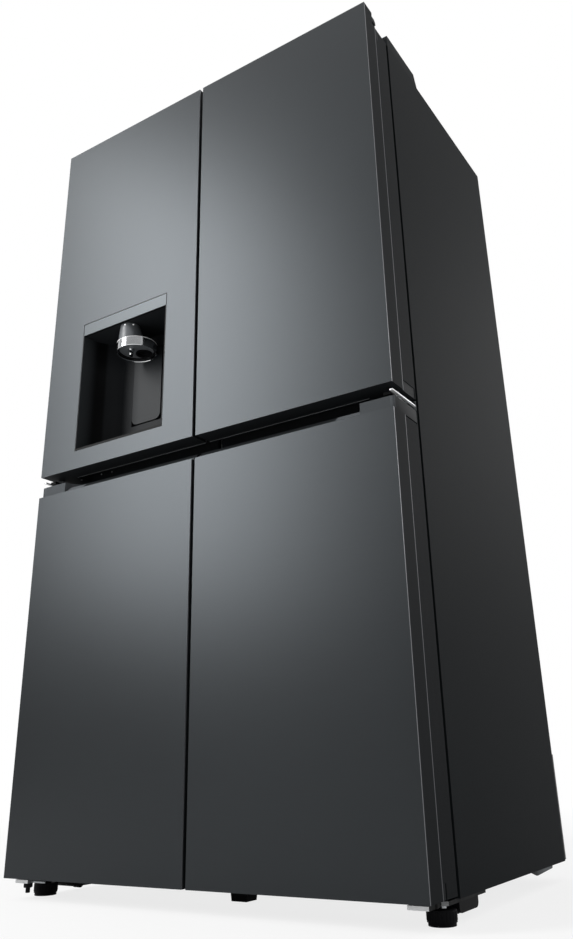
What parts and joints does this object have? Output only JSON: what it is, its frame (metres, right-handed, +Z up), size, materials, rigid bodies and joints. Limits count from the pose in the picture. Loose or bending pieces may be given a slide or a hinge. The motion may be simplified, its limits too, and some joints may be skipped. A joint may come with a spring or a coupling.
{
  "type": "french door refrigerator",
  "caption": "Tall free-standing refrigerator with French doors above, freezer doors below, grip recesses between them and an ice and water dispenser.",
  "frame": {"origin": "middle of the bounding box at floor level", "axes": "+Z up, +X to the viewer's right, +Y from the door fronts to the back"},
  "size_m": [0.912, 0.68, 1.788],
  "materials": {
    "door_steel": "matte",
    "side_steel": "matte",
    "zinc_steel": "satin",
    "foam": "matte",
    "white_liner": "satin",
    "dark_plastic": "matte",
    "black_plastic": "satin",
    "clear_plastic": "gloss",
    "shelf_glass": "gloss",
    "grey_plastic": "satin",
    "chrome": "polished",
    "gasket_rubber": "matte",
    "black_steel": "satin",
    "aluminium_fins": "satin"
  },
  "bodies": {
    "cabinet": {"cabinet_shell": "side_steel", "cabinet_foam": "foam", "fridge_liner": "white_liner", "freezer_liner": "white_liner", "mid_rail": "zinc_steel", "base_pan": "zinc_steel", "back_panel": "zinc_steel", "compressor_cover": "zinc_steel", "compressor": "black_steel", "condenser": "aluminium_fins", "evaporator": "aluminium_fins", "air_ducts": "white_liner", "rear_inlets": "black_plastic", "shelf_frames": "grey_plastic", "glass_shelves": "shelf_glass", "hinge_plates": "zinc_steel", "hinge_covers": "side_steel", "centre_foot": "black_plastic", "roller_carriers": "black_plastic"},
    "upper_left_door": {"upper_left_skin": "door_steel", "upper_left_core": "foam", "upper_left_liner": "white_liner", "upper_left_gasket": "gasket_rubber", "upper_left_caps": "dark_plastic", "upper_left_bins": "clear_plastic", "dispenser_housing": "dark_plastic", "control_panel": "door_steel", "nozzle_body": "grey_plastic", "nozzle_chrome": "chrome", "ice_box": "white_liner"},
    "upper_right_door": {"upper_right_skin": "door_steel", "upper_right_core": "foam", "upper_right_liner": "white_liner", "upper_right_gasket": "gasket_rubber", "upper_right_caps": "dark_plastic", "upper_right_bins": "clear_plastic"},
    "lower_left_door": {"lower_left_skin": "door_steel", "lower_left_core": "foam", "lower_left_liner": "white_liner", "lower_left_gasket": "gasket_rubber", "lower_left_caps": "dark_plastic"},
    "lower_right_door": {"lower_right_skin": "door_steel", "lower_right_core": "foam", "lower_right_liner": "white_liner", "lower_right_gasket": "gasket_rubber", "lower_right_caps": "dark_plastic"},
    "mullion": {"flip_mullion": "white_liner"},
    "paddle": {"paddle": "dark_plastic"},
    "crisper_left": {"crisper_drawer_left": "clear_plastic"},
    "freezer_drawer_left_upper": {"freezer_drawer_left_upper": "clear_plastic"},
    "freezer_drawer_left_lower": {"freezer_drawer_left_lower": "clear_plastic"},
    "crisper_right": {"crisper_drawer_right": "clear_plastic"},
    "freezer_drawer_right_upper": {"freezer_drawer_right_upper": "clear_plastic"},
    "freezer_drawer_right_lower": {"freezer_drawer_right_lower": "clear_plastic"},
    "condenser_fan": {"condenser_fan": "black_plastic"},
    "freezer_fan": {"freezer_fan": "black_plastic"},
    "front_rollers": {"front_rollers": "black_plastic"},
    "rear_rollers": {"rear_rollers": "black_plastic"},
    "levelling_foot_left": {"levelling_foot_left": "black_plastic"},
    "levelling_foot_right": {"levelling_foot_right": "black_plastic"}
  },
  "joints": [
    {"name": "upper_left_door_hinge", "type": "hinge", "parent": "cabinet", "child": "upper_left_door", "pos_m": [-0.438, -0.292, 1.3], "axis": [0, 0, -1], "range_deg": [0, 110]},
    {"name": "lower_left_door_hinge", "type": "hinge", "parent": "cabinet", "child": "lower_left_door", "pos_m": [-0.438, -0.292, 0.44], "axis": [0, 0, -1], "range_deg": [0, 110]},
    {"name": "upper_right_door_hinge", "type": "hinge", "parent": "cabinet", "child": "upper_right_door", "pos_m": [0.438, -0.292, 1.3], "axis": [0, 0, 1], "range_deg": [0, 110]},
    {"name": "lower_right_door_hinge", "type": "hinge", "parent": "cabinet", "child": "lower_right_door", "pos_m": [0.438, -0.292, 0.44], "axis": [0, 0, 1], "range_deg": [0, 110]},
    {"name": "mullion_hinge", "type": "hinge", "parent": "upper_left_door", "child": "mullion", "pos_m": [-0.03, -0.2215, 1.3], "axis": [0, 0, -1], "range_deg": [0, 90]},
    {"name": "paddle_hinge", "type": "hinge", "parent": "upper_left_door", "child": "paddle", "pos_m": [-0.2265, -0.2365, 1.16], "axis": [1, 0, 0], "range_deg": [0, 4], "stiffness_Nm_per_rad": 0.6},
    {"name": "crisper_left_slide", "type": "slide", "parent": "cabinet", "child": "crisper_left", "axis": [0, -1, 0], "range_m": [0, 0.18]},
    {"name": "freezer_drawer_left_upper_slide", "type": "slide", "parent": "cabinet", "child": "freezer_drawer_left_upper", "axis": [0, -1, 0], "range_m": [0, 0.13]},
    {"name": "freezer_drawer_left_lower_slide", "type": "slide", "parent": "cabinet", "child": "freezer_drawer_left_lower", "axis": [0, -1, 0], "range_m": [0, 0.13]},
    {"name": "crisper_right_slide", "type": "slide", "parent": "cabinet", "child": "crisper_right", "axis": [0, -1, 0], "range_m": [0, 0.18]},
    {"name": "freezer_drawer_right_upper_slide", "type": "slide", "parent": "cabinet", "child": "freezer_drawer_right_upper", "axis": [0, -1, 0], "range_m": [0, 0.13]},
    {"name": "freezer_drawer_right_lower_slide", "type": "slide", "parent": "cabinet", "child": "freezer_drawer_right_lower", "axis": [0, -1, 0], "range_m": [0, 0.13]},
    {"name": "condenser_fan_spin", "type": "hinge", "parent": "cabinet", "child": "condenser_fan", "pos_m": [0.04, 0.212, 0.133], "axis": [1, 0, 0], "continuous": true},
    {"name": "freezer_fan_spin", "type": "hinge", "parent": "cabinet", "child": "freezer_fan", "pos_m": [-0.215, 0.205, 0.723], "axis": [0, 1, 0], "continuous": true},
    {"name": "front_rollers_roll", "type": "hinge", "parent": "cabinet", "child": "front_rollers", "pos_m": [0, -0.176, 0.0145], "axis": [1, 0, 0], "continuous": true},
    {"name": "rear_rollers_roll", "type": "hinge", "parent": "cabinet", "child": "rear_rollers", "pos_m": [0, 0.25, 0.016], "axis": [1, 0, 0], "continuous": true},
    {"name": "foot_left_turn", "type": "hinge", "parent": "cabinet", "child": "levelling_foot_left", "pos_m": [-0.4324, -0.251, 0], "axis": [0, 0, 1], "continuous": true},
    {"name": "foot_right_turn", "type": "hinge", "parent": "cabinet", "child": "levelling_foot_right", "pos_m": [0.4324, -0.251, 0], "axis": [0, 0, 1], "continuous": true}
  ],
  "couplings": [
    {"joint": "crisper_left_slide", "follows": "upper_left_door_hinge", "m_per_rad": 0.0937},
    {"joint": "freezer_drawer_left_upper_slide", "follows": "lower_left_door_hinge", "m_per_rad": 0.0677},
    {"joint": "freezer_drawer_left_lower_slide", "follows": "lower_left_door_hinge", "m_per_rad": 0.0677},
    {"joint": "crisper_right_slide", "follows": "upper_right_door_hinge", "m_per_rad": 0.0937},
    {"joint": "freezer_drawer_right_upper_slide", "follows": "lower_right_door_hinge", "m_per_rad": 0.0677},
    {"joint": "freezer_drawer_right_lower_slide", "follows": "lower_right_door_hinge", "m_per_rad": 0.0677}
  ]
}
